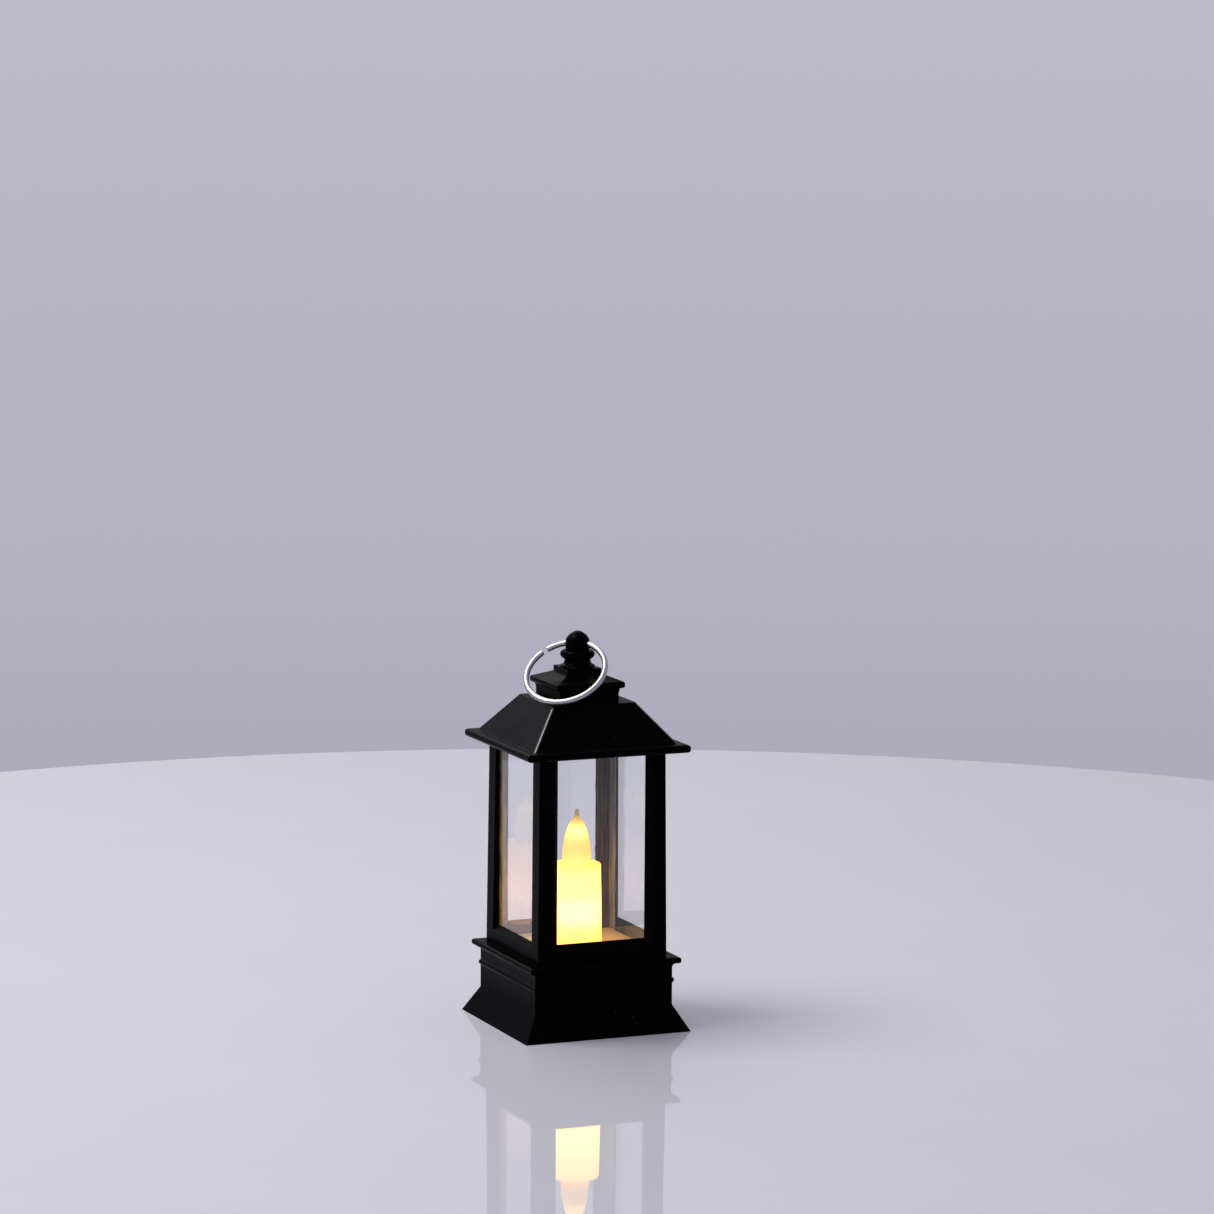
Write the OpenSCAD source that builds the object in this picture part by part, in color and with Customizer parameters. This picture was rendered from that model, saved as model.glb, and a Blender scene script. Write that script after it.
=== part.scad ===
// Miniature candle lantern: a square black case with four windows, a hipped roof and a hanging
// ring, with a battery candle inside. +Z is up, the broad front face looks along -Y, and the
// origin is the middle of the underside of the foot. Sizes are in millimetres.

/* [Pedestal] */
// Width across the foot
foot_w = 55; // [48:0.5:68]
// Height of the sloping foot
flare_h = 8.1; // [6.5:0.1:10]
// Width across the upright part of the pedestal
pedestal_w = 45.9; // [45.5:0.1:47]
// Height of the ledge's underside
pedestal_h = 21.2; // [19.5:0.1:26]
// Thickness of the pedestal's walls
pedestal_wall = 1.65; // [1.3:0.05:2]
// Height of the bead's centre
bead_z = 15.9; // [12:0.1:17]
// Radius of the bead
bead_r = 1; // [0.6:0.1:1.2]
// How far the bead stands out
bead_out = 0.5; // [0.2:0.05:0.6]
// Radius of the cove under the ledge
cove_r = 1.4; // [0.5:0.1:1.8]
// Width across the ledge
ledge_w = 50.6; // [49:0.1:54]
// Thickness of the ledge
ledge_t = 2; // [1.6:0.1:3]
// Radius of the ledge's, the eave's and the cap's corners in plan
corner_r = 0.8; // [0.2:0.1:1.2]

/* [Window frame] */
// Height of the frame above the ledge
frame_h = 67.8; // [54:0.1:85]
// Width inside the frame
chamber_w = 40.1; // [38:0.1:40.4]
// Thickness of the posts at the bottom
post_wall = 1.5; // [1.2:0.05:1.9]
// How much thinner each post is at the top
post_taper = 0.6; // [0:0.05:0.6]
// Clear width of a window at its inner edge
window_w = 29.1; // [24:0.1:32]
// Height of a window's sill above the ledge, at its inner edge
sill_h = 6; // [4.5:0.1:9]
// Height of the top rail, at its inner edge
top_rail_h = 3.9; // [3:0.1:6]
// Bevel of a window's edge for each millimetre of its depth
window_bevel = 1.2; // [0.5:0.1:1.8]
// Thickness of the deck that the panes and the candle floor stand on
deck_t = 1.6; // [1.2:0.1:2]
// Width of the square hole in the deck
deck_hole_w = 34; // [30:0.5:35]
// Thickness of a pane
pane_t = 0.7; // [0.5:0.05:1]

/* [Roof] */
// Width across the eave
eave_w = 54.2; // [50:0.1:66]
// Thickness of the eave
eave_t = 2.6; // [1.6:0.1:3]
// Height of the frame that goes up into the eave
frame_in_roof = 3.4; // [2.8:0.1:3.6]
// Width of the roof at the foot of its slopes
roof_foot_w = 47.8; // [47:0.1:49]
// Width of the flat at the top of the slopes
roof_top_w = 27.8; // [25:0.1:30]
// Height of the slopes
roof_rise = 12.1; // [10:0.1:15]
// Thickness of the roof
roof_wall = 1.6; // [1.2:0.1:1.8]
// Width of the chimney
chimney_w = 19.7; // [18:0.1:20]
// Height of the chimney
chimney_h = 4.05; // [3.6:0.05:5]
// Thickness of the chimney's walls
chimney_wall = 1.6; // [1.2:0.1:1.9]

/* [Cap] */
// Width across the cap slab
cap_w = 23; // [22.4:0.1:23.6]
// Thickness of the cap slab's edge
cap_t = 2.3; // [1.8:0.1:2.6]
// Rise of the slope on the cap slab
cap_rise = 1.9; // [1.2:0.1:2.2]
// Width of the plinth under the finial
plinth_w = 11.4; // [11:0.1:12]
// Height of the plinth
plinth_h = 1.7; // [1.5:0.1:2.4]
// Largest radius of the finial's base and bead
finial_r = 5.4; // [5:0.05:5.6]
// Radius of the finial's neck
neck_r = 4.1; // [3.6:0.05:4.4]
// Radius of the finial's dome
dome_r = 3.8; // [3.6:0.05:4.2]
// Height of the dome above the ring's hole
dome_h = 4; // [3.6:0.05:4.6]

/* [Hanging ring] */
// Radius of the ring at the middle of its wire
ring_r = 12.55; // [12.2:0.05:13.2]
// Diameter of the ring's wire
wire_d = 1.8; // [1.4:0.05:1.9]
// Opening between the ring's ends
ring_gap = 1.6; // [0.6:0.1:3]
// Angle of the opening round the ring from the hole in the finial
gap_angle = 50; // [30:1:150]
// Height of the resting ring above the flat of the roof
ring_rest = 0.6; // [0.2:0.1:1.5]

/* [Candle] */
// Radius of the candle at the floor
candle_r = 8; // [7.2:0.1:9.5]
// Radius of the candle at its rim
candle_top_r = 7.6; // [7:0.1:9]
// Height of the candle above its floor
candle_h = 25.6; // [22:0.1:30]
// Wall of the candle
candle_wall = 1.1; // [0.8:0.1:1.4]
// Height of the candle floor above the deck
floor_h = 2.1; // [1.8:0.1:3]
// Radius of the flame
flame_r = 4.55; // [4.4:0.05:5.2]
// Height of the flame without its wick tip
flame_h = 15; // [11:0.1:18]
// Height of the wick tip
tip_h = 2.2; // [1:0.1:3]
// Radius of the lamp in the flame
led_r = 2.5; // [2.2:0.1:2.5]

/* [Battery base] */
// Depth of the cover inside the foot
cover_recess = 1.4; // [1.2:0.1:1.8]
// Thickness of the cover
cover_t = 2.2; // [2:0.1:2.6]
// Thickness of the battery door
door_t = 1.1; // [0.9:0.05:1.2]
// Number of button cells
cells = 3; // [1:1:3]
// Diameter of a button cell
cell_d = 11.6; // [9.5:0.1:12]
// Height of a button cell
cell_h = 5.4; // [3.6:0.1:5.5]
// Wall of the battery bay
bay_wall = 1.2; // [0.9:0.1:1.4]
// Radius of a screw's thread
screw_r = 1; // [0.8:0.05:1.1]
// Length of a screw under its head
screw_l = 7; // [5:0.1:8]
// Travel of the switch knob
switch_travel = 3; // [2:0.1:3.4]

/* [Hidden] */
$fn = 64;

case_black = [0.03, 0.03, 0.035];
clear_pane = [0.85, 0.9, 0.92, 0.25];
ivory = [1, 0.93, 0.72];
steel = [0.78, 0.78, 0.8];

fit = 0.05; // clearance on each side of pieces that slide together
slack = 0.1; // clearance of pieces that drop in
over = 1; // how far a cut runs past a face

// Levels of the case
ledge_top = pedestal_h + ledge_t;
frame_top = ledge_top + frame_h;
eave_z = frame_top - frame_in_roof;
eave_top = eave_z + eave_t;
roof_top = eave_top + roof_rise;
chimney_top = roof_top + chimney_h;
cap_edge_top = chimney_top + cap_t;
plinth_z = cap_edge_top + cap_rise;
plinth_top = plinth_z + plinth_h;
deck_top = ledge_top - 0.7;
floor_z = deck_top + floor_h;
candle_top = floor_z + candle_h;

// Base
cavity_w = pedestal_w - 2 * pedestal_wall;
cover_top = cover_recess + cover_t;
rebate_wall = 1.3;
rebate_w = 2 * (foot_w / 2 - (foot_w - pedestal_w) / 2 * cover_top / flare_h - rebate_wall);
corner_block = 5.1;
cover_screw_at = cavity_w / 2 - corner_block / 2;
boss_r = 2.2;
pilot_r = screw_r + fit;
head_r = screw_r + 0.9;
head_h = 0.9;

// Battery bay
contact_t = 0.4;
spring_gap = 2;
bay_gap = 0.2;
bay_y = -8;
stack_l = cells * cell_h;
bay_l = stack_l + spring_gap + 2 * contact_t + 2 * fit;
bay_w = cell_d + 2 * bay_gap;
door_top = cover_recess + door_t;
cell_z = door_top + bay_gap + cell_d / 2;
bay_top = cell_z + cell_d / 2 + bay_gap + bay_wall;
stack_x = (spring_gap - stack_l) / 2;
door_screw_x = bay_l / 2 + bay_wall + boss_r + 0.5;
door_l = 2 * (door_screw_x + head_r + 0.7);
door_w = bay_w + 2;
tail_w = 2;
tail_top = bay_top + 1.4;

// Switch
switch_y = 13;
switch_l = 9;
switch_w = 4.4;
switch_h = 4;
switch_wall = 0.7;
knob_w = 2;
knob_base_h = 1;
stake_r = 0.9;
stake_x = switch_l / 2 + 1.6;

// Candle
candle_slope = (candle_r - candle_top_r) / candle_h;
collar_h = 2.4;
collar_r = candle_r - candle_wall - slack - max(candle_slope, 0) * collar_h;
led_flange_r = led_r + 0.45;
flame_hole_r = led_r + 1.1;
dish = 0.4;
led_z = candle_top - 3.8;
led_top = led_z + 8.6;
leg_x = 1.27;
leg_r = 0.25;

// Circuit board, under the candle floor
board_pin_x = collar_r + 1.8;
board_l = 2 * board_pin_x + 4;
board_w = 12;
board_t = 1.2;
floor_t = 1.2;
board_top = deck_top - 0.9;
board_z = board_top - board_t;
lead_r = 0.55;
pad_z = board_top + lead_r + 0.2; // the wires lie on the board's upper face

// Finial
ring_hole_z = plinth_top + 7.3;
wire_sag = 0.3; // the wire bows by about twice this over the width of the dome
ring_hole_r = wire_d / 2 + wire_sag + slack;
hole_turn = -45; // the ring's hole runs from corner to corner of the cap
ring_drop = ring_hole_z - roof_top - wire_d / 2 - ring_rest; // from the hole to the ring's lowest point
ring_lean = acos(ring_drop / (2 * ring_r - wire_sag)); // from hanging straight down

// Points along an arc from angle a to angle b.
function arc(x, z, r, a, b, n = 8) =
  [for (i = [0:n]) let (t = a + (b - a) * i / n) [x + r * cos(t), z + r * sin(t)]];

// A half outline in x and z, with its mirror image.
function both_sides(half) = concat(half, [for (i = [len(half) - 1:-1:0]) [-half[i][0], half[i][1]]]);

// A square moulding: the same outline on all four sides, mitred at the corners.
module mitred(half, reach = 80) {
  intersection() {
    rotate([90, 0, 0]) linear_extrude(reach, center = true) polygon(both_sides(half));
    rotate([90, 0, 90]) linear_extrude(reach, center = true) polygon(both_sides(half));
  }
}

// A square block centred on the axis, from height a to height b.
module block(w, a, b) {
  translate([-w / 2, -w / 2, a]) cube([w, w, b - a]);
}

// The same block with its upright corners rounded.
module round_block(w, r, a, b) {
  translate([0, 0, a]) linear_extrude(b - a) {
    square([w, w - 2 * r], center = true);
    square([w - 2 * r, w], center = true);
    for (x = [-1, 1], y = [-1, 1])
      translate([x * (w / 2 - r), y * (w / 2 - r)]) circle(r);
  }
}

module post(x, y, r, a, b) {
  translate([x, y, a]) cylinder(r = r, h = b - a);
}

// ---- case ----

module case_outside() {
  bead_turn = acos((bead_r - bead_out) / bead_r);
  difference() {
    mitred(concat(
      [[foot_w / 2, 0], [pedestal_w / 2, flare_h]],
      arc(pedestal_w / 2 - bead_r + bead_out, bead_z, bead_r, -bead_turn, bead_turn),
      arc(pedestal_w / 2 + cove_r, pedestal_h - cove_r, cove_r, 180, 90),
      arc(ledge_w / 2 - ledge_t / 2, pedestal_h + ledge_t / 2, ledge_t / 2, -90, 90),
      [[chamber_w / 2 + post_wall, ledge_top], [chamber_w / 2 + post_wall - post_taper, frame_top]]
    ));
    difference() {
      block(ledge_w + over, pedestal_h, ledge_top);
      round_block(ledge_w, corner_r, pedestal_h - over, ledge_top + over);
    }
  }
}

// The opening of one window: it widens outwards on all four edges.
module window_cut() {
  far = 4;
  inner = chamber_w / 2;
  spread = window_bevel * far;
  half = window_w / 2;
  sill = ledge_top + sill_h;
  head = frame_top - top_rail_h;
  intersection() {
    linear_extrude(frame_top + over)
      polygon(both_sides([[half, -inner], [half + spread, -inner - far]]));
    rotate([90, 0, 90]) linear_extrude(4 * half, center = true)
      polygon([[-inner, sill], [-inner, head], [-inner - far, head + spread], [-inner - far, sill - spread]]);
  }
  translate([-half, -inner - slack, sill]) cube([2 * half, 3, head - sill]);
}

module case_frame() {
  color(case_black) difference() {
    case_outside();
    block(rebate_w, -over, cover_top);
    difference() {
      block(cavity_w, cover_top - over, deck_top - deck_t);
      for (x = [-1, 1], y = [-1, 1])
        translate([x * cover_screw_at, y * cover_screw_at, 0])
          block(corner_block + slack, cover_top, cover_top + screw_l + over);
    }
    block(deck_hole_w, deck_top - deck_t - over, deck_top + over);
    block(chamber_w, deck_top, frame_top + over);
    for (a = [0:90:270])
      rotate(a) window_cut();
    for (x = [-1, 1], y = [-1, 1])
      post(x * cover_screw_at, y * cover_screw_at, pilot_r, 0, cover_top + screw_l - 0.8);
  }
}

module roof_outside() {
  step = 0.12;
  band = 0.6;
  intersection() {
    mitred(concat(
      arc(eave_w / 2 - eave_t / 2, eave_z + eave_t / 2, eave_t / 2, -90, 90),
      [
        [roof_foot_w / 2, eave_top],
        [roof_top_w / 2, roof_top],
        [chimney_w / 2, roof_top],
        [chimney_w / 2, chimney_top - 2 * band],
        [chimney_w / 2 + step, chimney_top - 2 * band],
        [chimney_w / 2 + step, chimney_top - band],
        [chimney_w / 2 + 2 * step, chimney_top - band],
        [chimney_w / 2 + 2 * step, chimney_top]
      ]
    ));
    round_block(eave_w, corner_r, eave_z - over, chimney_top + over);
  }
}

module roof() {
  socket = chamber_w / 2 + post_wall - post_taper + slack;
  seat = chamber_w / 2 - 0.3;
  slope = (roof_foot_w - roof_top_w) / 2 / roof_rise;
  inner_top = roof_top - roof_wall;
  throat = chimney_w / 2 - chimney_wall;
  color(case_black) difference() {
    roof_outside();
    mitred([
      [socket + post_taper * frame_in_roof / frame_h, eave_z - over],
      [socket, frame_top],
      [seat, frame_top],
      [seat - slope * (inner_top - frame_top), inner_top],
      [throat, inner_top],
      [throat, chimney_top + over]
    ]);
  }
}

// Turned about the axis: a flare, a neck, a bead, and a dome with upright sides and a soft point.
module finial_outline() {
  roll_r = 1.3;
  roll_z = plinth_top + 3.95;
  dome_foot = roll_z + roll_r + 0.4;
  shoulder_z = ring_hole_z + 0.3;
  crown_h = ring_hole_z + dome_h - shoulder_z;
  polygon(concat(
    [[0, plinth_z], [finial_r, plinth_top - 0.2], [finial_r, plinth_top + 0.5]],
    arc(finial_r, plinth_top + 1.9, finial_r - neck_r, 265, 180),
    [[neck_r, plinth_top + 2.4]],
    arc(finial_r - roll_r, roll_z, roll_r, -60, 80),
    [[dome_r - 0.25, roll_z + roll_r], [dome_r, dome_foot]],
    [for (u = [0:0.08:0.96]) [dome_r * pow(1 - u * u, 0.68), shoulder_z + crown_h * u]],
    [[0, ring_hole_z + dome_h]]
  ));
}

module cap_finial() {
  spigot = chimney_w / 2 - chimney_wall - fit;
  spigot_h = 2.8;
  color(case_black) difference() {
    union() {
      intersection() {
        mitred(concat(
          [[spigot, chimney_top - spigot_h], [spigot, chimney_top]],
          arc(cap_w / 2 - cap_t / 2, chimney_top + cap_t / 2, cap_t / 2, -90, 60),
          [[plinth_w / 2, plinth_z], [plinth_w / 2, plinth_top]]
        ));
        round_block(cap_w, corner_r, chimney_top - spigot_h - over, plinth_top + over);
      }
      rotate_extrude() finial_outline();
    }
    block(2 * spigot - 2.8, chimney_top - spigot_h - over, chimney_top + 0.8);
    post(0, 0, 2.2, chimney_top, plinth_top + 2);
    translate([0, 0, ring_hole_z]) rotate(hole_turn) rotate([0, 90, 0])
      cylinder(r = ring_hole_r, h = 4 * dome_r, center = true);
  }
}

// ---- ring: it hangs in the finial's hole and lies over the cap's near left corner ----

module hanging_ring() {
  half_gap = asin(ring_gap / 2 / ring_r);
  color(steel) translate([0, 0, ring_hole_z]) rotate(hole_turn) rotate([-ring_lean, 0, 0])
    translate([0, 0, wire_sag - ring_r]) rotate([-90, 0, 0])
      rotate(270 - gap_angle + half_gap)
        rotate_extrude(angle = 360 - 2 * half_gap, $fn = 96)
          translate([ring_r, 0]) circle(d = wire_d, $fn = 32);
}

// ---- panes ----

module pane(turn, w) {
  color(clear_pane) rotate(turn)
    translate([-w / 2, -chamber_w / 2 + fit, deck_top]) cube([w, pane_t, frame_top - slack - deck_top]);
}

module front_pane() {
  pane(0, chamber_w - 2 * fit);
}

module back_pane() {
  pane(180, chamber_w - 2 * fit);
}

module left_pane() {
  pane(270, chamber_w - 2 * pane_t - 4 * fit);
}

module right_pane() {
  pane(90, chamber_w - 2 * pane_t - 4 * fit);
}

// ---- candle ----

module candle_floor() {
  w = chamber_w - 2 * pane_t - 4 * fit;
  rim = 1.2;
  color(ivory) difference() {
    union() {
      difference() {
        block(w, deck_top, floor_z);
        block(w - 2 * rim, deck_top - over, floor_z - floor_t);
      }
      post(0, 0, collar_r, floor_z - floor_t, floor_z + collar_h);
      for (x = [-1, 1])
        post(x * board_pin_x, 0, 1.6, board_top, floor_z - floor_t / 2);
      for (x = [-1, 1])
        post(x * board_pin_x, 0, stake_r, board_z - 0.5, board_top + over);
    }
    post(0, 0, collar_r - 1.2, floor_z - floor_t - over, floor_z + collar_h + over);
  }
}

module candle_sleeve() {
  round_r = 0.6;
  color(ivory) rotate_extrude() polygon(concat(
    [[candle_r - candle_wall, floor_z], [candle_r, floor_z]],
    arc(candle_top_r - round_r, candle_top - round_r, round_r, 0, 120, 6),
    [
      [candle_top_r - 1.2, candle_top - dish],
      [flame_hole_r, candle_top - dish],
      [flame_hole_r, candle_top - dish - 1.2],
      [candle_r - candle_wall - candle_slope * (candle_h - dish - 1.2), candle_top - dish - 1.2]
    ]
  ));
}

module flame() {
  tip_r = 0.8;
  foot = candle_top - dish;
  color([1, 0.75, 0.35, 0.8]) difference() {
    union() {
      rotate_extrude() polygon(concat(
        [[0, foot], [flame_r, foot]],
        [for (u = [0:0.08:0.96]) [flame_r * pow(1 - pow(u, 2.3), 0.6), candle_top + flame_h * u]],
        [
          [tip_r, candle_top + flame_h],
          [tip_r - 0.2, candle_top + flame_h + tip_h - 0.3],
          [0, candle_top + flame_h + tip_h]
        ]
      ));
      post(0, 0, flame_hole_r - fit, led_z + 1 + fit, foot + over);
    }
    post(0, 0, led_r + slack, led_z, led_top - led_r);
    translate([0, 0, led_top - led_r]) sphere(r = led_r + slack);
  }
}

module led_lamp() {
  color([1, 0.85, 0.6]) {
    post(0, 0, led_flange_r, led_z, led_z + 1);
    post(0, 0, led_r, led_z + 0.5, led_top - led_r);
    translate([0, 0, led_top - led_r]) sphere(r = led_r);
  }
}

module led_legs() {
  color(steel)
    for (x = [-leg_x, leg_x])
      post(x, 0, leg_r, board_z - 0.6, led_z);
}

module circuit_board() {
  color([0.1, 0.4, 0.2]) difference() {
    translate([-board_l / 2, -board_w / 2, board_z]) cube([board_l, board_w, board_t]);
    for (x = [-1, 1])
      post(x * board_pin_x, 0, stake_r + slack, 0, board_top + over);
    for (x = [-leg_x, leg_x])
      post(x, 0, leg_r + slack, 0, board_top + over);
  }
}

module flicker_chip() {
  color([0.05, 0.05, 0.05]) translate([0, 3.2, board_z]) intersection() {
    translate([0, 0, 2.2]) sphere(r = 3.1);
    translate([-3, -3, -1.1]) cube([6, 6, 1.1]);
  }
}

module resistor() {
  color([0.75, 0.6, 0.4]) {
    translate([-2, -3.4, board_z - 1.1]) rotate([0, 90, 0]) cylinder(r = 0.9, h = 4);
    for (x = [-2.6, 2.6])
      post(x, -3.4, 0.25, board_z - 1.35, board_z);
    translate([-2.6, -3.4, board_z - 1.1]) rotate([0, 90, 0]) cylinder(r = 0.25, h = 5.2);
  }
}

// ---- battery base ----

module button_cell(i) {
  can_h = cell_h - 0.6;
  color(steel) translate([stack_x + i * cell_h, bay_y, cell_z]) rotate([0, 90, 0]) {
    cylinder(r = cell_d / 2, h = can_h);
    cylinder(r = cell_d / 2 - 1.2, h = cell_h);
  }
}

module contact_tail(x, side) {
  translate([x, bay_y - tail_w / 2, cell_z]) cube([contact_t, tail_w, tail_top - cell_z]);
  translate([side > 0 ? x : x + contact_t - 1.6, bay_y - tail_w / 2, tail_top - contact_t])
    cube([1.6, tail_w, contact_t]);
}

module positive_contact() {
  x = stack_x + stack_l;
  color(steel) {
    translate([x, bay_y - 4, cell_z - 4]) cube([contact_t, 8, 8]);
    contact_tail(x, 1);
  }
}

module negative_contact() {
  x = stack_x - spring_gap - contact_t;
  strip = [
    [x, -4],
    [x + contact_t, -4],
    [stack_x - 0.3, 0],
    [x + contact_t, 3.4],
    [x + contact_t, 4],
    [x, 4]
  ];
  color(steel) {
    difference() {
      translate([0, bay_y + 2.5, cell_z]) rotate([90, 0, 0]) linear_extrude(5) polygon(strip);
      translate([0, bay_y + 3, cell_z]) rotate([90, 0, 0]) linear_extrude(6)
        polygon([[x + contact_t, -3.1], [stack_x - 0.9, 0], [x + contact_t, 2.8]]);
    }
    translate([stack_x - 0.7, bay_y, cell_z]) rotate([0, 90, 0]) cylinder(r = 0.9, h = 0.7);
    contact_tail(x, -1);
  }
}

function unit(v) = v / norm(v);

// A point a share t of the way from point i of a route to the next, on a smooth curve through them all.
function along(p, i, t) =
  let (a = p[max(i - 1, 0)], b = p[i], c = p[i + 1], d = p[min(i + 2, len(p) - 1)])
  (2 * b + (c - a) * t + (2 * a - 5 * b + 4 * c - d) * t * t + (3 * b - a - 3 * c + d) * t * t * t) / 2;

// A wire that runs smoothly through the given points.
module wire(points) {
  steps = 5;
  sides = 8;
  last = len(points) - 1;
  path = concat([for (i = [0:last - 1], k = [0:steps - 1]) along(points, i, k / steps)], [points[last]]);
  n = len(path);
  rings = [
    for (i = [0:n - 1])
      let (
        t = i == 0 ? unit(points[1] - points[0])
          : i == n - 1 ? unit(points[last] - points[last - 1])
          : unit(path[i + 1] - path[i - 1]),
        u = unit(cross(t, [0.9, 0.4, 0.1])),
        v = cross(t, u)
      )
      for (j = [0:sides - 1]) path[i] + lead_r * (u * cos(360 * j / sides) + v * sin(360 * j / sides))
  ];
  walls = [
    for (i = [0:n - 2], j = [0:sides - 1])
      let (a = i * sides + j, b = i * sides + (j + 1) % sides)
      each [[a, a + sides, b], [b, a + sides, b + sides]]
  ];
  ends = [[for (j = [0:sides - 1]) j], [for (j = [sides - 1:-1:0]) (n - 1) * sides + j]];
  polyhedron(points = rings, faces = concat(walls, ends), convexity = 6);
}

module red_wire() {
  x = stack_x + stack_l + 0.9;
  color([0.8, 0.1, 0.1])
    wire([
      [x, bay_y, tail_top + slack],
      [x, bay_y, board_z],
      [x - 1.2, bay_y + 0.8, pad_z],
      [7, -5, pad_z],
      [4.5, -4.6, pad_z]
    ]);
}

module black_wire() {
  x = stack_x - spring_gap - 0.9;
  side = -board_l / 2 - 1.6;
  top = cover_top + switch_h;
  color([0.08, 0.08, 0.08])
    wire([
      [x, bay_y, tail_top + slack],
      [x, bay_y, tail_top + 1.2],
      [side, -3, tail_top + 1.2],
      [side, 3, tail_top - 1],
      [-6, switch_y - 0.5, top + 5],
      [-2.5, switch_y, top + 3.5],
      [-2.5, switch_y, top + 1.3]
    ]);
}

module white_wire() {
  top = cover_top + switch_h;
  color([0.9, 0.9, 0.88])
    wire([
      [0, switch_y, top + 1.3],
      [0, switch_y, top + 4],
      [-2, switch_y - 3, board_z - 2],
      [-3.6, 7.4, pad_z - 0.3],
      [-4.4, 5, pad_z],
      [-5, 3, pad_z]
    ]);
}

module switch_case() {
  base = cover_top;
  color(steel) difference() {
    union() {
      translate([-switch_l / 2, switch_y - switch_w / 2, base]) cube([switch_l, switch_w, switch_h]);
      translate([-stake_x - 1.6, switch_y - switch_w / 2, base]) cube([2 * stake_x + 3.2, switch_w, 0.6]);
      for (x = [-2.5, 0, 2.5])
        translate([x - 0.5, switch_y - 0.2, base + switch_h - 0.5]) cube([1, 0.4, 1.7]);
    }
    translate([-switch_l / 2 + switch_wall, switch_y - switch_w / 2 + switch_wall, base - over])
      cube([switch_l - 2 * switch_wall, switch_w - 2 * switch_wall, over + 2.2]);
    for (x = [-1, 1])
      post(x * stake_x, switch_y, stake_r + fit, base - over, base + over);
  }
}

// The knob is drawn at its on end. It slides towards +X to switch off.
module switch_knob() {
  l = switch_l - 2 * switch_wall - switch_travel - 2 * slack;
  w = switch_w - 2 * switch_wall - 2 * slack;
  x = -switch_travel / 2;
  z = cover_top + slack;
  color([0.15, 0.15, 0.15]) {
    translate([x - l / 2, switch_y - w / 2, z]) cube([l, w, knob_base_h]);
    translate([x - knob_w / 2, switch_y - knob_w / 2, cover_recess - 0.5])
      cube([knob_w, knob_w, z + 0.5 - cover_recess + 0.5]);
  }
}

module bottom_cover() {
  knob_slot = knob_w + switch_travel + 2 * slack;
  color(case_black) difference() {
    union() {
      block(rebate_w - 2 * slack, cover_recess, cover_top);
      translate([-bay_l / 2 - bay_wall, bay_y - bay_w / 2 - bay_wall, cover_recess + 0.5])
        cube([bay_l + 2 * bay_wall, bay_w + 2 * bay_wall, bay_top - cover_recess - 0.5]);
      for (x = [-1, 1])
        post(x * door_screw_x, bay_y, boss_r, cover_top - 0.5, cover_recess + screw_l + over);
      for (x = [-1, 1])
        post(x * stake_x, switch_y, stake_r, cover_top - 0.5, cover_top + 1.6);
    }
    translate([-bay_l / 2, bay_y - bay_w / 2, -over]) cube([bay_l, bay_w, bay_top - bay_wall + over]);
    translate([-door_l / 2 - slack, bay_y - door_w / 2 - slack, -over])
      cube([door_l + 2 * slack, door_w + 2 * slack, door_top + fit + over]);
    for (x = [-1, 1])
      post(x * door_screw_x, bay_y, pilot_r, 0, cover_recess + screw_l + 0.3);
    for (x = [-bay_l / 2 - 0.2, bay_l / 2 - contact_t - 0.4])
      translate([x, bay_y - tail_w / 2 - 0.2, bay_top - bay_wall - over])
        cube([contact_t + 0.6, tail_w + 0.4, bay_wall + 2 * over]);
    translate([-knob_slot / 2, switch_y - knob_w / 2 - slack, 0])
      cube([knob_slot, knob_w + 2 * slack, cover_top + over]);
    for (x = [-1, 1], y = [-1, 1])
      post(x * cover_screw_at, y * cover_screw_at, screw_r + 0.3, 0, cover_top + over);
  }
}

// A pan-head screw with a cross recess, standing on its head.
module screw() {
  difference() {
    union() {
      translate([0, 0, -head_h]) cylinder(r1 = head_r - 0.3, r2 = head_r, h = head_h);
      cylinder(r = screw_r, h = screw_l - 1);
      translate([0, 0, screw_l - 1]) cylinder(r1 = screw_r, r2 = 0.3, h = 1);
    }
    for (a = [0, 90])
      rotate(a) translate([-1, -0.25, -head_h - over]) cube([2, 0.5, over + 0.5]);
  }
}

module cover_screws() {
  color(steel)
    for (x = [-1, 1], y = [-1, 1])
      translate([x * cover_screw_at, y * cover_screw_at, cover_recess]) screw();
}

module battery_door() {
  color(case_black) difference() {
    union() {
      translate([-door_l / 2, bay_y - door_w / 2, cover_recess]) cube([door_l, door_w, door_t]);
      for (i = [-2:2])
        translate([-4, bay_y + i * 1.4 - 0.3, cover_recess - 0.3]) cube([8, 0.6, 0.6]);
    }
    for (x = [-1, 1])
      post(x * door_screw_x, bay_y, screw_r + 0.2, 0, door_top + over);
  }
}

module door_screws() {
  color(steel)
    for (x = [-1, 1])
      translate([x * door_screw_x, bay_y, cover_recess]) screw();
}

case_frame();
roof();
cap_finial();
hanging_ring();
front_pane();
back_pane();
left_pane();
right_pane();
candle_floor();
candle_sleeve();
flame();
led_lamp();
led_legs();
circuit_board();
flicker_chip();
resistor();
button_cell(0);  // button_cell_1
button_cell(1);  // button_cell_2
button_cell(2);  // button_cell_3
positive_contact();
negative_contact();
red_wire();
black_wire();
white_wire();
switch_case();
switch_knob();
bottom_cover();
cover_screws();
battery_door();
door_screws();
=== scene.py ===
import math

import bmesh
import bpy
from mathutils import Matrix, Vector, noise


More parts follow.
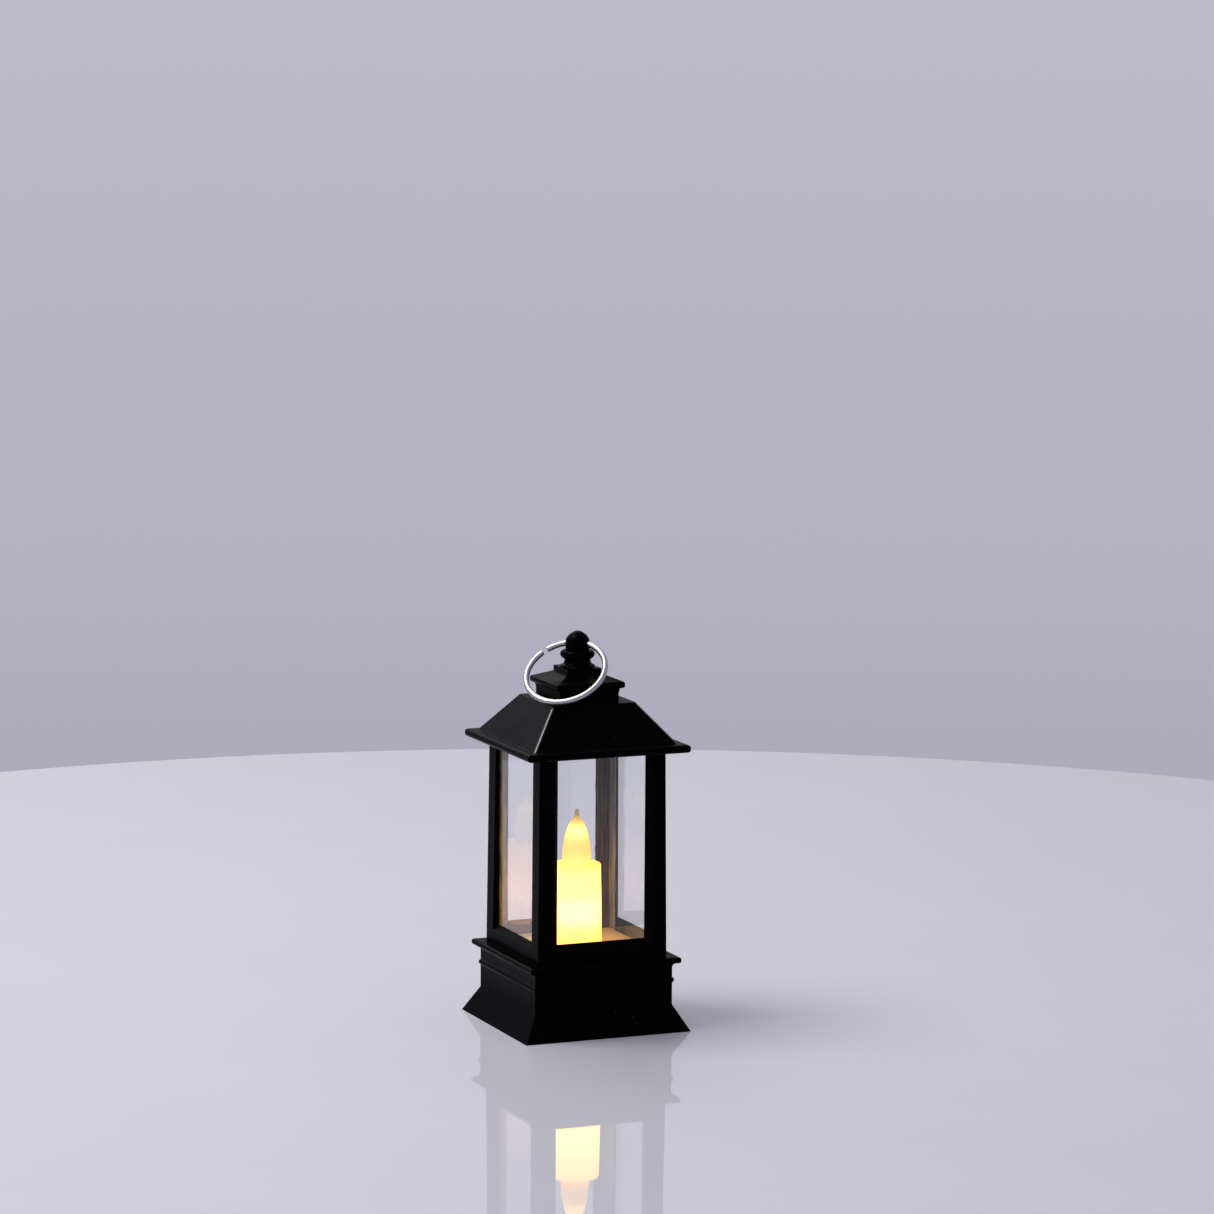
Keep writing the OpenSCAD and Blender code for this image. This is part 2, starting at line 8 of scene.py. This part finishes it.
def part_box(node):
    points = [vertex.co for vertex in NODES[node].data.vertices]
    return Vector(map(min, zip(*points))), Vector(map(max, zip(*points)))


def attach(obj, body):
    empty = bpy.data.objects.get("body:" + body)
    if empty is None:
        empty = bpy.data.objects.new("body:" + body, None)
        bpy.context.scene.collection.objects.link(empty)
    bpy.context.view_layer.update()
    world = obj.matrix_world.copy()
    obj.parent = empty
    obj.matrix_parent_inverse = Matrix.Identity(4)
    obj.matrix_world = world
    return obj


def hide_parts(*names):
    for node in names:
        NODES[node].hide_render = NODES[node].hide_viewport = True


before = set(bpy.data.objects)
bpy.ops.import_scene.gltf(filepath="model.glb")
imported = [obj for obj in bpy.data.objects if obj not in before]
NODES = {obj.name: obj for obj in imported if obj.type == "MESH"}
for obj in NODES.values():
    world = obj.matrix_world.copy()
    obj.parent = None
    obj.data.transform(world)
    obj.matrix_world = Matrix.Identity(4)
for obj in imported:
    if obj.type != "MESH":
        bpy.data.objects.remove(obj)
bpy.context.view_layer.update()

MM = 0.001

# ---- sizes: the angles below split smooth edges from sharp ones ----

CAD_ANGLE = math.radians(32)
CUT_ANGLE = math.radians(50)
FLAT_ANGLE = math.radians(0.4)

# widths in millimetres of the rounded edges
EDGES = {"case_frame": 0.35, "roof": 0.35, "cap_finial": 0.35, "bottom_cover": 0.15, "battery_door": 0.15,
         "candle_floor": 0.2}
HIP_WIDTH = 0.55

# the roof's eave and chimney, which tell its hips from its other edges
EAVE_T = 2.6 * MM
CHIMNEY_H = 4.05 * MM
CHIMNEY_HALF = 10.5 * MM

# the hanging ring, and the finial's height above its hole
DOME_H = 4 * MM
RING_R = 12.55 * MM
WIRE_R = 0.9 * MM
WIRE_SAG = 0.3 * MM
RING_GAP = 1.6 * MM
GAP_ANGLE = 50
RING_STEPS = 220
WIRE_SIDES = 28

# the panes by axis and side, and the dried glue along their edges
PANES = ({-1: "left_pane", 1: "right_pane"}, {-1: "front_pane", 1: "back_pane"})
WINDOW_HALF = 14.55 * MM
COLLAR_H = 2.4 * MM
FILM_EDGE = WINDOW_HALF - 0.15 * MM
FILM_STEP = 0.7 * MM
FILM_COLUMNS = 7
FILM_T = 0.2 * MM
FILM_EDGE_T = 0.02 * MM

# the view and the lights
VIEW_AIM = Vector((8.35, -3.5, 130.9)) * MM
VIEW_AZIMUTH = -22.8
VIEW_ELEVATION = 8.22
VIEW_DISTANCE = 1.6125
VIEW_ROLL = 0.382
LIGHT_AIM = Vector((0, 0, 60)) * MM


# ---- node helpers ----

class Shader:
    """One material's node tree, with short calls for the nodes that it uses."""

    def __init__(self, name, colour, roughness, **values):
        self.material = bpy.data.materials.new(name)
        self.material.use_nodes = True
        self.tree = self.material.node_tree
        self.bsdf = self.tree.nodes["Principled BSDF"]
        self.set(Base_Color=(*colour, 1), Roughness=roughness, **values)
        self.place = self.tree.nodes.new("ShaderNodeTexCoord").outputs["Object"]

    def set(self, **values):
        for key, value in values.items():
            self.bsdf.inputs[key.replace("_", " ")].default_value = value

    def link(self, output, socket):
        self.tree.links.new(output, self.bsdf.inputs[socket])

    def noise(self, size, detail=4, rough=0.55, stretch=(1, 1, 1)):
        """Noise whose features are about size millimetres across."""
        node = self.tree.nodes.new("ShaderNodeTexNoise")
        node.inputs["Scale"].default_value = 1 / (size * MM)
        node.inputs["Detail"].default_value = detail
        node.inputs["Roughness"].default_value = rough
        self.tree.links.new(self.stretched(stretch), node.inputs["Vector"])
        return node.outputs["Fac"]

    def specks(self, size):
        node = self.tree.nodes.new("ShaderNodeTexVoronoi")
        node.inputs["Scale"].default_value = 1 / (size * MM)
        self.tree.links.new(self.place, node.inputs["Vector"])
        return node.outputs["Distance"]

    def stretched(self, scale):
        if scale == (1, 1, 1):
            return self.place
        node = self.tree.nodes.new("ShaderNodeMapping")
        node.inputs["Scale"].default_value = scale
        self.tree.links.new(self.place, node.inputs["Vector"])
        return node.outputs["Vector"]

    def height(self):
        node = self.tree.nodes.new("ShaderNodeSeparateXYZ")
        self.tree.links.new(self.place, node.inputs[0])
        return node.outputs["Z"]

    def spread(self, value, low, high, to_low=0.0, to_high=1.0):
        """value from low..high onto to_low..to_high."""
        node = self.tree.nodes.new("ShaderNodeMapRange")
        for i, x in enumerate((low, high, to_low, to_high)):
            node.inputs[i + 1].default_value = x
        self.tree.links.new(value, node.inputs[0])
        return node.outputs[0]

    def ramp(self, value, stops):
        node = self.tree.nodes.new("ShaderNodeValToRGB")
        band = node.color_ramp
        while len(band.elements) < len(stops):
            band.elements.new(1)
        for element, (at, colour) in zip(band.elements, stops):
            element.position = at
            element.color = (*colour, 1)
        self.tree.links.new(value, node.inputs[0])
        return node.outputs[0]

    def maths(self, operation, a, b):
        node = self.tree.nodes.new("ShaderNodeMath")
        node.operation = operation
        for socket, value in zip(node.inputs, (a, b)):
            if isinstance(value, (int, float)):
                socket.default_value = value
            else:
                self.tree.links.new(value, socket)
        return node.outputs[0]

    def bump(self, heights):
        """Stacked bumps: each is (height, depth in millimetres)."""
        last = None
        for value, depth in heights:
            node = self.tree.nodes.new("ShaderNodeBump")
            node.inputs["Distance"].default_value = depth * MM
            self.tree.links.new(value, node.inputs["Height"])
            if last:
                self.tree.links.new(last, node.inputs["Normal"])
            last = node.outputs["Normal"]
        self.link(last, "Normal")


# ---- materials ----

def moulded_black(name, gloss, grain, dust, index=1.065, ripple=0.02):
    """Black moulded plastic: a faint ripple, polish that varies, and specks of dust.

    The low index keeps faces that are seen square on black, and leaves a sheen on those seen at a slant.
    """
    pigment = (0.0007, 0.0007, 0.001)
    s = Shader(name, pigment, gloss, IOR=index)
    specks = s.spread(s.specks(2.6), 0.04, 0.06, 1, 0)
    cloud = s.noise(9)
    patchy = s.spread(cloud, 0.4, 0.75, 0, 1)
    s.link(s.ramp(s.maths("MULTIPLY", specks, s.maths("MULTIPLY", patchy, dust)),
                  [(0, pigment), (1, (0.09, 0.09, 0.09))]), "Base Color")
    s.link(s.maths("ADD", s.spread(cloud, 0.3, 0.7, gloss - 0.04, gloss + 0.05),
                   s.maths("MULTIPLY", specks, 0.3)), "Roughness")
    s.bump([(s.noise(6, 2), ripple), (s.noise(0.35, 3), grain)])
    return s.material


def bright_metal(name, colour, roughness, scratch=(1, 1, 12), wear=0.12, dullest=0.8, scar=0.006):
    """Plated metal: fine drawn lines, polish that varies, and patches as dull as dullest of its colour."""
    s = Shader(name, colour, roughness, Metallic=1.0)
    lines = s.noise(0.5, 6, 0.7, scratch)
    s.link(s.spread(lines, 0.3, 0.7, roughness - wear / 2, roughness + wear), "Roughness")
    dull = tuple(c * dullest for c in colour)
    s.link(s.ramp(s.noise(5), [(0.35, dull), (0.65, colour)]), "Base Color")
    s.bump([(lines, scar), (s.noise(3), 2 * scar)])
    return s.material


def plain_plastic(name, colour, roughness, grain=0.01, **values):
    """Plain coloured plastic with slightly darker patches and a fine grain."""
    s = Shader(name, colour, roughness, **values)
    shade = tuple(c * 0.85 for c in colour)
    s.link(s.ramp(s.noise(1.6), [(0.3, shade), (0.7, colour)]), "Base Color")
    s.link(s.spread(s.noise(0.9), 0.3, 0.7, roughness - 0.06, roughness + 0.08), "Roughness")
    s.bump([(s.noise(0.3, 3), grain)])
    return s.material


def clear_sheet():
    """Clear sheet with faint upright haze and a few specks."""
    s = Shader("clear_sheet", (0.95, 0.955, 0.965), 0.0, Transmission_Weight=1.0, IOR=1.47)
    haze = s.noise(3, 5, 0.65, (1, 1, 0.12))
    specks = s.spread(s.specks(5), 0.015, 0.03, 0.5, 0)
    s.link(s.maths("ADD", s.spread(haze, 0.62, 0.85, 0.0, 0.06), specks), "Roughness")
    s.bump([(s.noise(16, 1), 0.01)])
    return s.material


def dried_glue(name, dark, pale, index=1.25):
    """A film of dried glue: cloudy, glossy, with streaks where it was drawn down the corner."""
    s = Shader(name, pale, 0.3, Transmission_Weight=0.15, IOR=index)
    streaks = s.noise(0.7, 4, 0.6, (1, 1, 0.06))
    s.link(s.ramp(streaks, [(0.36, dark), (0.64, pale)]), "Base Color")
    s.bump([(streaks, 0.06)])
    return s.material


def lit_wax():
    """Ivory plastic that glows orange from inside, so brightly that its middle looks almost white."""
    s = Shader("lit_wax", (0.5, 0.41, 0.26), 0.42, Coat_Weight=1.0, Coat_IOR=1.08, Coat_Roughness=0.3,
               Coat_Tint=(1, 0.94, 0.72, 1))
    low, high = (v.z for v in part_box("candle_sleeve"))
    drift = s.maths("MULTIPLY", s.noise(9, 2), 5 * MM)
    rise = s.spread(s.maths("ADD", s.height(), drift), low + 2.5 * MM, high + 2.5 * MM)
    s.link(s.ramp(rise, [(0.0, (0.55, 0.25, 0.042)), (0.2, (0.7, 0.32, 0.065)), (0.36, (1, 0.48, 0.16)),
                         (0.52, (1, 0.48, 0.16)), (0.66, (0.8, 0.37, 0.103)), (0.9, (0.7, 0.33, 0.091)),
                         (1.0, (0.55, 0.26, 0.057))]), "Emission Color")
    s.set(Emission_Strength=5.8)
    s.bump([(s.noise(2.5, 2), 0.05), (s.noise(0.3), 0.006)])
    return s.material


def lit_flame():
    """The flame: amber at the rim, brightest half way up, and unlit at its tip."""
    s = Shader("lit_flame", (0.5, 0.4, 0.28), 0.3, Coat_Weight=1.0, Coat_IOR=1.08, Coat_Roughness=0.2,
               Coat_Tint=(1, 0.9, 0.66, 1))
    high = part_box("flame")[1].z
    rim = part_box("candle_sleeve")[1].z
    drift = s.maths("MULTIPLY", s.noise(5, 2), 1.6 * MM)
    rise = s.spread(s.maths("ADD", s.height(), drift), rim + 0.8 * MM, high + 0.8 * MM)
    s.link(s.ramp(rise, [(0.0, (0.62, 0.38, 0.13)), (0.3, (0.5, 0.33, 0.11)), (0.46, (0.56, 0.37, 0.13)),
                         (0.56, (0.9, 0.58, 0.23)), (0.64, (1, 0.66, 0.3)), (0.7, (0.8, 0.5, 0.17)),
                         (0.78, (0.42, 0.3, 0.1)), (0.84, (0.3, 0.18, 0.06)), (0.89, (0.12, 0.08, 0.06)),
                         (1.0, (0.09, 0.075, 0.08))]), "Emission Color")
    s.set(Emission_Strength=2.6)
    s.bump([(s.noise(2, 2), 0.04)])
    return s.material


BLACK = moulded_black("gloss_black", 0.27, 0.004, 1.0)
HIP_EDGE = moulded_black("rubbed_hip", 0.24, 0.001, 0.0, index=1.6, ripple=0.0)
EDGE = moulded_black("rubbed_edge", 0.24, 0.001, 0.0, index=1.27, ripple=0.0)
COVER = moulded_black("satin_black", 0.42, 0.02, 0.4, index=1.3)
KNOB = moulded_black("knob_black", 0.5, 0.02, 0.2, index=1.3)
PANE = clear_sheet()
IVORY = plain_plastic("floor_ivory", (0.82, 0.74, 0.36), 0.38, 0.012)
WAX = lit_wax()
FLAME = lit_flame()
GLUE_BROWN = dried_glue("glue_brown", (0.012, 0.01, 0.008), (0.11, 0.075, 0.035))
GLUE_GREY = dried_glue("glue_grey", (0.1, 0.12, 0.15), (0.34, 0.38, 0.46))
GLUE_AMBER = dried_glue("glue_amber", (0.05, 0.04, 0.012), (0.38, 0.36, 0.1), index=1.05)
RING = bright_metal("ring_nickel", (0.44, 0.44, 0.46), 0.36, wear=0.05, dullest=0.92, scar=0.0006)
TIN = bright_metal("tinned", (0.72, 0.72, 0.74), 0.3)
CELL = bright_metal("cell_can", (0.66, 0.66, 0.69), 0.26, (1, 12, 1))
SCREW = bright_metal("zinc_screw", (0.55, 0.55, 0.58), 0.34)
SWITCH = bright_metal("switch_shell", (0.6, 0.6, 0.62), 0.36)
FINISH = {
    BLACK: ["case_frame", "roof", "cap_finial"],
    COVER: ["bottom_cover", "battery_door"],
    KNOB: ["switch_knob"],
    PANE: ["front_pane", "back_pane", "left_pane", "right_pane"],
    IVORY: ["candle_floor"],
    WAX: ["candle_sleeve"],
    FLAME: ["flame"],
    RING: ["hanging_ring"],
    TIN: ["led_legs", "positive_contact", "negative_contact"],
    CELL: ["button_cell_1", "button_cell_2", "button_cell_3"],
    SCREW: ["cover_screws", "door_screws"],
    SWITCH: ["switch_case"],
    plain_plastic("board_green", (0.03, 0.17, 0.07), 0.35): ["circuit_board"],
    plain_plastic("chip_black", (0.02, 0.02, 0.02), 0.25): ["flicker_chip"],
    plain_plastic("resistor_tan", (0.55, 0.42, 0.26), 0.4): ["resistor"],
    plain_plastic("wire_red", (0.55, 0.03, 0.02), 0.5): ["red_wire"],
    plain_plastic("wire_black", (0.02, 0.02, 0.02), 0.5): ["black_wire"],
    plain_plastic("wire_white", (0.75, 0.75, 0.7), 0.5): ["white_wire"],
    plain_plastic("lamp_epoxy", (0.9, 0.8, 0.55), 0.15, Emission_Color=(1, 0.8, 0.4, 1),
                  Emission_Strength=3.0): ["led_lamp"],
}


# ---- mesh helpers ----

def weigh_hips(obj):
    """Gives full bevel weight to the roof's four hips, and none to its other edges."""
    low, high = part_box("roof")
    foot, top = low.z + EAVE_T, high.z - CHIMNEY_H
    near = 0.01 * MM
    weights = obj.data.attributes.new("bevel_weight_edge", "FLOAT", "EDGE")
    for edge in obj.data.edges:
        a, b = (obj.data.vertices[i].co for i in edge.vertices)
        if a.z > b.z:
            a, b = b, a
        mitred = all(abs(abs(v.x) - abs(v.y)) < near for v in (a, b))
        inwards = abs(a.x) > abs(b.x) > CHIMNEY_HALF
        if mitred and inwards and abs(a.z - foot) < near and abs(b.z - top) < near:
            weights.data[edge.index].value = 1.0


def bevel_edges(obj, width, material):
    """Rounds the sharp edges over width millimetres, in a material of their own where one is given."""
    bevel = obj.modifiers.new("bevel", "BEVEL")
    bevel.width = width * MM
    bevel.segments = 4
    bevel.limit_method = "ANGLE"
    bevel.angle_limit = CAD_ANGLE
    bevel.miter_outer = "MITER_ARC"
    if material:
        obj.data.materials.append(material)
        bevel.material = len(obj.data.materials) - 1
    return bevel


def soften(obj, width, edge=None, hips=None):
    """Rounds a CAD node's edges and shades its curves smoothly, with modifiers only.

    edge is the rounded edges' own material, and hips is the larger width of the roof's hips.
    """
    weld = obj.modifiers.new("weld", "WELD")
    weld.merge_threshold = 0.002 * MM
    flat = obj.modifiers.new("flat", "DECIMATE")
    flat.decimate_type = "DISSOLVE"
    flat.angle_limit = FLAT_ANGLE
    if hips:
        bevel = bevel_edges(obj, hips, HIP_EDGE)
        bevel.limit_method = "WEIGHT"
        weigh_hips(obj)
    bevel_edges(obj, width, edge)
    for face in obj.data.polygons:
        face.use_smooth = True
    normal = obj.modifiers.new("normal", "WEIGHTED_NORMAL")
    normal.keep_sharp = True
    normal.weight = 90


for material, names in FINISH.items():
    for name in names:
        mesh = NODES[name].data
        mesh.materials.clear()
        mesh.materials.append(material)

for name, node in NODES.items():
    if name in EDGES:
        rubbed = EDGE if name in FINISH[BLACK] else None
        soften(node, EDGES[name], rubbed, HIP_WIDTH if name == "roof" else None)
    else:
        for face in node.data.polygons:
            face.use_smooth = True
        node.data.set_sharp_from_angle(angle=CAD_ANGLE)


def new_piece(name, bm, material):
    """A visible piece from the faces in bm, smooth except at its sharp edges."""
    bmesh.ops.recalc_face_normals(bm, faces=bm.faces)
    mesh = bpy.data.meshes.new(name)
    bm.to_mesh(mesh)
    bm.free()
    for face in mesh.polygons:
        face.use_smooth = True
    mesh.set_sharp_from_angle(angle=CUT_ANGLE)
    mesh.materials.append(material)
    piece = bpy.data.objects.new(name, mesh)
    bpy.context.scene.collection.objects.link(piece)
    return piece


def film(name, axis, wall_side, side, tuck, material):
    """A strip of dried glue down one pane's inner face, from a corner to near the window's edge.

    The pane faces along axis, on its wall_side, and the corner is on the other axis's side. tuck is how far
    the strip's wavy edge is moved outwards, behind the post.
    """
    across = 1 - axis
    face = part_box(PANES[axis][wall_side])[0 if wall_side > 0 else 1][axis]
    corner = abs(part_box(PANES[across][side])[0 if side > 0 else 1][across])
    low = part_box("candle_floor")[1].z - COLLAR_H
    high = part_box("front_pane")[1].z
    rows = int((high - low) / FILM_STEP)
    bm = bmesh.new()
    grid = {}
    for i in range(rows + 1):
        z = low + (high - low) * i / rows
        seed = Vector((7.3 * axis + 2.1 * wall_side, 4.7 * side, z / (5 * MM)))
        wander = (noise.noise(seed) * 0.5 + noise.noise(seed * 4.3) * 0.2) * MM + tuck
        for j in range(FILM_COLUMNS):
            share = j / (FILM_COLUMNS - 1)
            place = FILM_EDGE + wander + (corner - FILM_EDGE - wander) * share
            ridge = noise.noise(Vector((share * 5, side * 3.3 + axis, z / (9 * MM)))) * 0.07 * MM
            depth = FILM_EDGE_T if j == 0 else FILM_T + ridge
            for layer, inwards in enumerate((0.0, depth)):
                point = [0, 0, z]
                point[axis] = face - wall_side * inwards
                point[across] = side * place
                grid[i, j, layer] = bm.verts.new(point)
    for i in range(rows):
        for j in range(FILM_COLUMNS - 1):
            for layer in (0, 1):
                bm.faces.new([grid[i + a, j + b, layer] for a, b in ((0, 0), (1, 0), (1, 1), (0, 1))])
        for j in (0, FILM_COLUMNS - 1):
            bm.faces.new([grid[i + a, j, b] for a, b in ((0, 0), (1, 0), (1, 1), (0, 1))])
    for i in (0, rows):
        for j in range(FILM_COLUMNS - 1):
            bm.faces.new([grid[i, j + a, b] for a, b in ((0, 0), (1, 0), (1, 1), (0, 1))])
    piece = new_piece(name, bm, material)
    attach(piece, "case")


def ring():
    """The hanging ring as one smooth bent wire, with cut ends whose edges are barely rounded."""
    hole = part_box("cap_finial")[1].z - DOME_H
    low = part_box("hanging_ring")[0].z
    lean = math.acos((hole - WIRE_R - low) / (2 * RING_R - WIRE_SAG))
    half_gap = math.asin(RING_GAP / 2 / RING_R)
    place = (Matrix.Translation((0, 0, hole)) @ Matrix.Rotation(math.radians(-45), 4, "Z")
             @ Matrix.Rotation(-lean, 4, "X") @ Matrix.Translation((0, 0, WIRE_SAG - RING_R))
             @ Matrix.Rotation(math.radians(-90), 4, "X")
             @ Matrix.Rotation(math.radians(270 - GAP_ANGLE) + half_gap, 4, "Z"))
    span = 2 * math.pi - 2 * half_gap
    ends = ((0.0, 0.82), (0.04 * MM / RING_R, 0.94), (0.12 * MM / RING_R, 1.0))
    middle = [(span * i / RING_STEPS, 1.0) for i in range(1, RING_STEPS)]
    sections = list(ends) + middle + [(span - at, share) for at, share in reversed(ends)]
    bm = bmesh.new()
    loops = []
    for at, share in sections:
        loop = []
        for k in range(WIRE_SIDES):
            turn = 2 * math.pi * k / WIRE_SIDES
            reach = RING_R + WIRE_R * share * math.cos(turn)
            point = Vector((reach * math.cos(at), reach * math.sin(at), WIRE_R * share * math.sin(turn)))
            loop.append(bm.verts.new(place @ point))
        loops.append(loop)
    for a, b in zip(loops, loops[1:]):
        for k in range(WIRE_SIDES):
            m = (k + 1) % WIRE_SIDES
            bm.faces.new((a[k], a[m], b[m], b[k]))
    bm.faces.new(loops[0])
    bm.faces.new(loops[-1][::-1])
    piece = new_piece("bent_ring", bm, RING)
    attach(piece, "ring")
    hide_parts("hanging_ring")


ring()

# each pane's low and high side: the glue and its tuck in millimetres
GLUE = {
    "front_pane": ((GLUE_BROWN, 0.9), (GLUE_BROWN, 0.9)),
    "back_pane": ((GLUE_AMBER, 0.95), (GLUE_BROWN, 0.1)),
    "left_pane": ((GLUE_AMBER, 0.9), (GLUE_AMBER, 0.9)),
    "right_pane": ((GLUE_GREY, 0.9), (GLUE_GREY, 0.1)),
}
for axis, panes in enumerate(PANES):
    for wall_side, pane in panes.items():
        for side, word, (glue, tuck) in zip((-1, 1), ("low", "high"), GLUE[pane]):
            film("glue_" + pane + "_" + word, axis, wall_side, side, tuck * MM, glue)


# ---- camera, floor and light ----

def look_at(obj, target, roll=0.0):
    """Turns a camera or light to face target, and rolls it about its line of sight."""
    turn = (target - obj.location).to_track_quat("-Z", "Y").to_matrix()
    obj.rotation_euler = (turn @ Matrix.Rotation(math.radians(roll), 3, "Z")).to_euler()


def around(target, azimuth, elevation, distance):
    """The point at that distance from target: in front at azimuth 0, and on the +X side at 90."""
    a, e = math.radians(azimuth), math.radians(elevation)
    return target + distance * Vector((math.cos(e) * math.sin(a), -math.cos(e) * math.cos(a), math.sin(e)))


def camera():
    data = bpy.data.cameras.new("camera")
    data.lens = 154.34
    data.sensor_width = 36
    data.clip_start = 0.05
    data.clip_end = 50
    obj = bpy.data.objects.new("camera", data)
    bpy.context.scene.collection.objects.link(obj)
    obj.location = around(VIEW_AIM, VIEW_AZIMUTH, VIEW_ELEVATION, VIEW_DISTANCE)
    look_at(obj, VIEW_AIM, VIEW_ROLL)
    bpy.context.scene.camera = obj


def area_light(name, azimuth, elevation, distance, size, power):
    data = bpy.data.lights.new(name, "AREA")
    data.shape = "RECTANGLE"
    data.size, data.size_y = size
    data.energy = power
    obj = bpy.data.objects.new(name, data)
    bpy.context.scene.collection.objects.link(obj)
    obj.location = around(LIGHT_AIM, azimuth, elevation, distance)
    look_at(obj, LIGHT_AIM)


def studio():
    """A round pale table that mirrors softly, a lilac surround shaded by height, and three soft lights."""
    backdrop = ((-0.17, (0.42, 0.407, 0.5)), (-0.14, (0.45, 0.433, 0.53)), (-0.03, (0.5, 0.483, 0.58)),
                (0.05, (0.44, 0.424, 0.52)))
    table_radius = 0.485
    table_thick = 0.02
    behind = 0.019
    top = Shader("table", (0.485, 0.485, 0.51), 0.02)
    shades = [(0.3, (0.48, 0.48, 0.505)), (0.7, (0.49, 0.49, 0.515))]
    top.link(top.ramp(top.noise(70, 3), shades), "Base Color")
    bm = bmesh.new()
    bmesh.ops.create_cone(bm, cap_ends=True, segments=256, radius1=table_radius, radius2=table_radius,
                          depth=table_thick)
    table = bpy.data.objects.new("table", bpy.data.meshes.new("table"))
    bm.to_mesh(table.data)
    bm.free()
    table.data.materials.append(top.material)
    table.location = around(VIEW_AIM, VIEW_AZIMUTH + 180, 0, behind)
    table.location.z = -table_thick / 2
    rim = table.modifiers.new("rim", "BEVEL")
    rim.width = 0.003
    rim.segments = 4
    rim.limit_method = "ANGLE"
    bpy.context.scene.collection.objects.link(table)
    world = bpy.data.worlds.new("world")
    world.use_nodes = True
    nodes, links = world.node_tree.nodes, world.node_tree.links
    split = nodes.new("ShaderNodeSeparateXYZ")
    links.new(nodes.new("ShaderNodeTexCoord").outputs["Generated"], split.inputs[0])
    rise = nodes.new("ShaderNodeMapRange")
    rise.inputs["From Min"].default_value = backdrop[0][0]
    rise.inputs["From Max"].default_value = backdrop[-1][0]
    links.new(split.outputs["Z"], rise.inputs[0])
    shade = nodes.new("ShaderNodeValToRGB")
    while len(shade.color_ramp.elements) < len(backdrop):
        shade.color_ramp.elements.new(1)
    for element, (level, colour) in zip(shade.color_ramp.elements, backdrop):
        element.position = (level - backdrop[0][0]) / (backdrop[-1][0] - backdrop[0][0])
        element.color = (*colour, 1)
    links.new(rise.outputs[0], shade.inputs[0])
    links.new(shade.outputs[0], nodes["Background"].inputs[0])
    bpy.context.scene.world = world
    area_light("key", -108, 60, 1.2, (0.75, 0.75), 15)
    area_light("back", 170, 45, 1.4, (0.9, 0.9), 6)
    area_light("left", -167, 26, 1.4, (0.9, 0.5), 1.6)


camera()
studio()
bpy.context.scene.view_settings.view_transform = "Standard"
